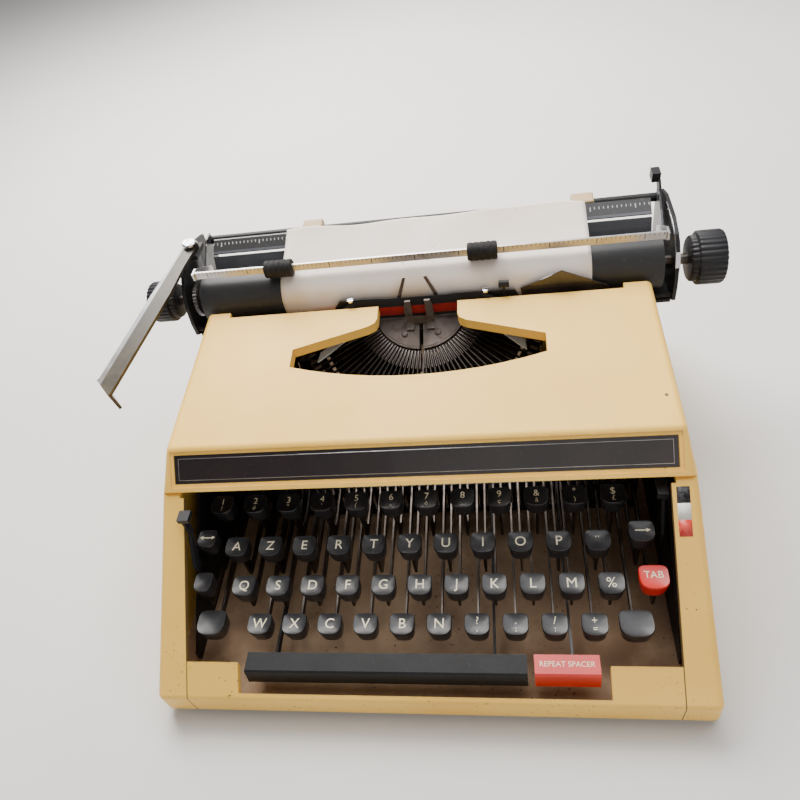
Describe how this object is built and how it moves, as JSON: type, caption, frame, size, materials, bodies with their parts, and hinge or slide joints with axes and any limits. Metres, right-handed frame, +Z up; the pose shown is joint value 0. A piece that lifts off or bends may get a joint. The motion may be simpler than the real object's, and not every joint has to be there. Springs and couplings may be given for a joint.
{
  "type": "portable typewriter",
  "caption": "Portable manual typewriter with cream casing, dark key rows, red tabulator and repeat-spacer keys, type basket, moving carriage, platen and paper bail.",
  "frame": {"origin": "centre of the bounding box at table level, under the rubber feet", "axes": "+X to the typist's right along the platen, +Y towards the back, +Z up"},
  "size_m": [0.343, 0.274, 0.1395],
  "materials": {
    "cream_plastic": "satin",
    "black_plastic": "satin",
    "key_black": "gloss",
    "key_red": "gloss",
    "panel_black": "satin",
    "tray_brown": "dusty",
    "frame_black": "satin",
    "steel_dark": "oiled",
    "segment_grey": "machined",
    "chrome": "bright",
    "steel": "brushed",
    "rubber": "matt",
    "brass": "satin",
    "smoked_clear": "clear",
    "ribbon_cloth": "matt",
    "paper": "matt",
    "tan_plastic": "satin",
    "felt": "matt"
  },
  "bodies": {
    "chassis": {"rubber_feet": "rubber", "base_plate": "tray_brown", "lower_body": "cream_plastic", "rear_panel": "black_plastic", "side_frames_and_rails": "tray_brown", "key_pivot_shaft": "steel", "key_lever_comb": "frame_black", "type_segment": "segment_grey", "typebars": "steel_dark", "type_rest_pad": "felt", "type_guide": "steel", "spool_cups": "frame_black", "ribbon": "ribbon_cloth", "works_brackets": "frame_black", "bell": "brass", "card_guides": "frame_black", "card_guide_clear": "smoked_clear"},
    "cover": {"top_cover": "cream_plastic", "name_panel": "panel_black"},
    "key_row_one": {"key_row_one": "key_black"},
    "key_row_two": {"key_row_two": "key_black"},
    "key_row_three": {"key_row_three": "key_black"},
    "key_row_four": {"key_row_four": "key_black"},
    "margin_release": {"margin_release_key": "key_black"},
    "shift_lock": {"shift_lock_key": "key_black"},
    "left_shift": {"left_shift_key": "key_black"},
    "right_shift": {"right_shift_key": "key_black"},
    "backspace": {"backspace_key": "key_black"},
    "tabulator": {"tab_key": "key_red"},
    "space_bar": {"space_bar": "key_black"},
    "repeat_spacer": {"repeat_spacer_key": "key_red"},
    "striking_typebar": {"striking_typebar": "steel_dark"},
    "vibrator": {"ribbon_vibrator": "steel"},
    "left_spool": {"ribbon_spool_left": "ribbon_cloth"},
    "right_spool": {"ribbon_spool_right": "ribbon_cloth"},
    "touch_control": {"touch_control_lever": "frame_black"},
    "colour_selector": {"ribbon_colour_lever": "frame_black"},
    "escapement": {"escapement_wheel": "brass"},
    "drum": {"mainspring_drum": "steel"},
    "carriage": {"carriage_plate": "frame_black", "end_plates": "frame_black", "paper_table": "frame_black", "margin_rail": "chrome", "return_lever_screw": "chrome", "paper_sheet": "paper"},
    "platen": {"platen": "rubber", "platen_core": "steel", "platen_knobs": "black_plastic", "line_ratchet": "steel"},
    "front_feed": {"feed_rollers_front": "rubber"},
    "rear_feed": {"feed_rollers_rear": "rubber"},
    "left_stop": {"margin_stop_left": "tan_plastic"},
    "right_stop": {"margin_stop_right": "tan_plastic"},
    "bail": {"bail_bar": "steel"},
    "left_bail_roller": {"bail_roller_left": "rubber"},
    "right_bail_roller": {"bail_roller_right": "rubber"},
    "return_lever": {"return_lever": "chrome"},
    "paper_release": {"paper_release_lever": "black_plastic"},
    "line_space": {"line_space_selector": "steel"},
    "carriage_release": {"carriage_release_levers": "black_plastic"}
  },
  "joints": [
    {"name": "row_one_press", "type": "hinge", "parent": "chassis", "child": "key_row_one", "pos_m": [0, 0.047, 0.034], "axis": [1, 0, 0], "range_deg": [0, 5.8], "stiffness_Nm_per_rad": 1.6, "springref_deg": -6.88},
    {"name": "row_two_press", "type": "hinge", "parent": "chassis", "child": "key_row_two", "pos_m": [0, 0.047, 0.034], "axis": [1, 0, 0], "range_deg": [0, 4.76], "stiffness_Nm_per_rad": 1.8, "springref_deg": -6.88},
    {"name": "row_three_press", "type": "hinge", "parent": "chassis", "child": "key_row_three", "pos_m": [0, 0.047, 0.034], "axis": [1, 0, 0], "range_deg": [0, 4.1], "stiffness_Nm_per_rad": 2.2, "springref_deg": -6.88},
    {"name": "row_four_press", "type": "hinge", "parent": "chassis", "child": "key_row_four", "pos_m": [0, 0.047, 0.034], "axis": [1, 0, 0], "range_deg": [0, 3.63], "stiffness_Nm_per_rad": 2.2, "springref_deg": -6.88},
    {"name": "margin_release_press", "type": "hinge", "parent": "chassis", "child": "margin_release", "pos_m": [0, 0.047, 0.034], "axis": [1, 0, 0], "range_deg": [0, 2.54], "stiffness_Nm_per_rad": 0.4, "springref_deg": -6.88},
    {"name": "shift_lock_press", "type": "hinge", "parent": "chassis", "child": "shift_lock", "pos_m": [0, 0.047, 0.034], "axis": [1, 0, 0], "range_deg": [0, 1.72], "stiffness_Nm_per_rad": 0.4, "springref_deg": -6.88},
    {"name": "right_shift_press", "type": "hinge", "parent": "chassis", "child": "right_shift", "pos_m": [0, 0.047, 0.034], "axis": [1, 0, 0], "range_deg": [0, 2.67], "stiffness_Nm_per_rad": 0.5, "springref_deg": -6.88},
    {"name": "left_shift_press", "type": "hinge", "parent": "chassis", "child": "left_shift", "pos_m": [0, 0.047, 0.034], "axis": [1, 0, 0], "range_deg": [0, 2.67], "stiffness_Nm_per_rad": 0.5, "springref_deg": -6.88},
    {"name": "backspace_press", "type": "hinge", "parent": "chassis", "child": "backspace", "pos_m": [0, 0.047, 0.034], "axis": [1, 0, 0], "range_deg": [0, 3.04], "stiffness_Nm_per_rad": 0.4, "springref_deg": -6.88},
    {"name": "tab_press", "type": "hinge", "parent": "chassis", "child": "tabulator", "pos_m": [0, 0.047, 0.034], "axis": [1, 0, 0], "range_deg": [0, 2.59], "stiffness_Nm_per_rad": 0.4, "springref_deg": -6.88},
    {"name": "space_bar_press", "type": "hinge", "parent": "chassis", "child": "space_bar", "pos_m": [0, 0.047, 0.034], "axis": [1, 0, 0], "range_deg": [0, 2.37], "stiffness_Nm_per_rad": 0.8, "springref_deg": -6.88},
    {"name": "repeat_spacer_press", "type": "hinge", "parent": "chassis", "child": "repeat_spacer", "pos_m": [0, 0.047, 0.034], "axis": [1, 0, 0], "range_deg": [0, 2.37], "stiffness_Nm_per_rad": 0.5, "springref_deg": -6.88},
    {"name": "typebar_strike", "type": "hinge", "parent": "chassis", "child": "striking_typebar", "pos_m": [0, 0.0457, 0.0725], "axis": [-1, 0, 0], "range_deg": [0, 113.5]},
    {"name": "ribbon_lift", "type": "slide", "parent": "chassis", "child": "vibrator", "axis": [0, 0, 1], "range_m": [0, 0.0061]},
    {"name": "left_spool_turn", "type": "hinge", "parent": "chassis", "child": "left_spool", "pos_m": [-0.098, 0.024, 0.084], "axis": [0, 0, 1], "continuous": true},
    {"name": "right_spool_turn", "type": "hinge", "parent": "chassis", "child": "right_spool", "pos_m": [0.098, 0.024, 0.084], "axis": [0, 0, 1], "continuous": true},
    {"name": "touch_control_turn", "type": "hinge", "parent": "chassis", "child": "touch_control", "pos_m": [-0.1224, -0.076, 0.05], "axis": [1, 0, 0], "range_deg": [0, 8]},
    {"name": "colour_selector_turn", "type": "hinge", "parent": "chassis", "child": "colour_selector", "pos_m": [0.1215, -0.059, 0.049], "axis": [1, 0, 0], "range_deg": [0, 8]},
    {"name": "carriage_travel", "type": "slide", "parent": "chassis", "child": "carriage", "axis": [1, 0, 0], "range_m": [-0.1143, 0.1143]},
    {"name": "escapement_turn", "type": "hinge", "parent": "chassis", "child": "escapement", "pos_m": [0.012, 0.1, 0.0762], "axis": [0, 1, 0], "range_deg": [-815, 815]},
    {"name": "drum_turn", "type": "hinge", "parent": "chassis", "child": "drum", "pos_m": [-0.096, 0.1, 0.052], "axis": [0, 1, 0], "range_deg": [-390, 390]},
    {"name": "platen_turn", "type": "hinge", "parent": "carriage", "child": "platen", "pos_m": [0, 0.0795, 0.109], "axis": [1, 0, 0], "continuous": true},
    {"name": "front_feed_turn", "type": "hinge", "parent": "carriage", "child": "front_feed", "pos_m": [0, 0.0673, 0.0943], "axis": [1, 0, 0], "continuous": true},
    {"name": "rear_feed_turn", "type": "hinge", "parent": "carriage", "child": "rear_feed", "pos_m": [0, 0.0917, 0.0943], "axis": [1, 0, 0], "continuous": true},
    {"name": "left_margin_slide", "type": "slide", "parent": "carriage", "child": "left_stop", "axis": [1, 0, 0], "range_m": [-0.057, 0.07]},
    {"name": "right_margin_slide", "type": "slide", "parent": "carriage", "child": "right_stop", "axis": [1, 0, 0], "range_m": [-0.07, 0.027]},
    {"name": "bail_lift", "type": "hinge", "parent": "carriage", "child": "bail", "pos_m": [0, 0.097, 0.116], "axis": [-1, 0, 0], "range_deg": [0, 60]},
    {"name": "left_bail_roller_turn", "type": "hinge", "parent": "bail", "child": "left_bail_roller", "pos_m": [-0.0815, 0.0755, 0.1297], "axis": [1, 0, 0], "continuous": true},
    {"name": "right_bail_roller_turn", "type": "hinge", "parent": "bail", "child": "right_bail_roller", "pos_m": [0.039, 0.0755, 0.1297], "axis": [1, 0, 0], "continuous": true},
    {"name": "return_lever_swing", "type": "hinge", "parent": "carriage", "child": "return_lever", "pos_m": [-0.142, 0.098, 0.1356], "axis": [0, 0, 1], "range_deg": [0, 25], "stiffness_Nm_per_rad": 0.3, "springref_deg": -5.73},
    {"name": "paper_release_turn", "type": "hinge", "parent": "carriage", "child": "paper_release", "pos_m": [0.1426, 0.108, 0.118], "axis": [1, 0, 0], "range_deg": [0, 20]},
    {"name": "line_space_turn", "type": "hinge", "parent": "carriage", "child": "line_space", "pos_m": [-0.1423, 0.098, 0.107], "axis": [1, 0, 0], "range_deg": [0, 12]},
    {"name": "carriage_release_press", "type": "hinge", "parent": "carriage", "child": "carriage_release", "pos_m": [0, 0.1, 0.097], "axis": [-1, 0, 0], "range_deg": [0, 8], "stiffness_Nm_per_rad": 0.2, "springref_deg": -5.73},
    {"name": "cover_lift", "type": "slide", "parent": "chassis", "child": "cover", "axis": [0, 0, 1], "range_m": [0, 0.09]}
  ],
  "couplings": [
    {"joint": "left_shift_press", "follows": "right_shift_press", "ratio": 1},
    {"joint": "typebar_strike", "follows": "row_three_press", "ratio": 27.546},
    {"joint": "ribbon_lift", "follows": "row_three_press", "m_per_rad": 0.0838},
    {"joint": "right_spool_turn", "follows": "left_spool_turn", "ratio": 1},
    {"joint": "escapement_turn", "follows": "carriage_travel", "rad_per_m": 123.69},
    {"joint": "drum_turn", "follows": "carriage_travel", "rad_per_m": 58.824},
    {"joint": "front_feed_turn", "follows": "platen_turn", "ratio": -4.6875},
    {"joint": "rear_feed_turn", "follows": "platen_turn", "ratio": -4.6875}
  ]
}
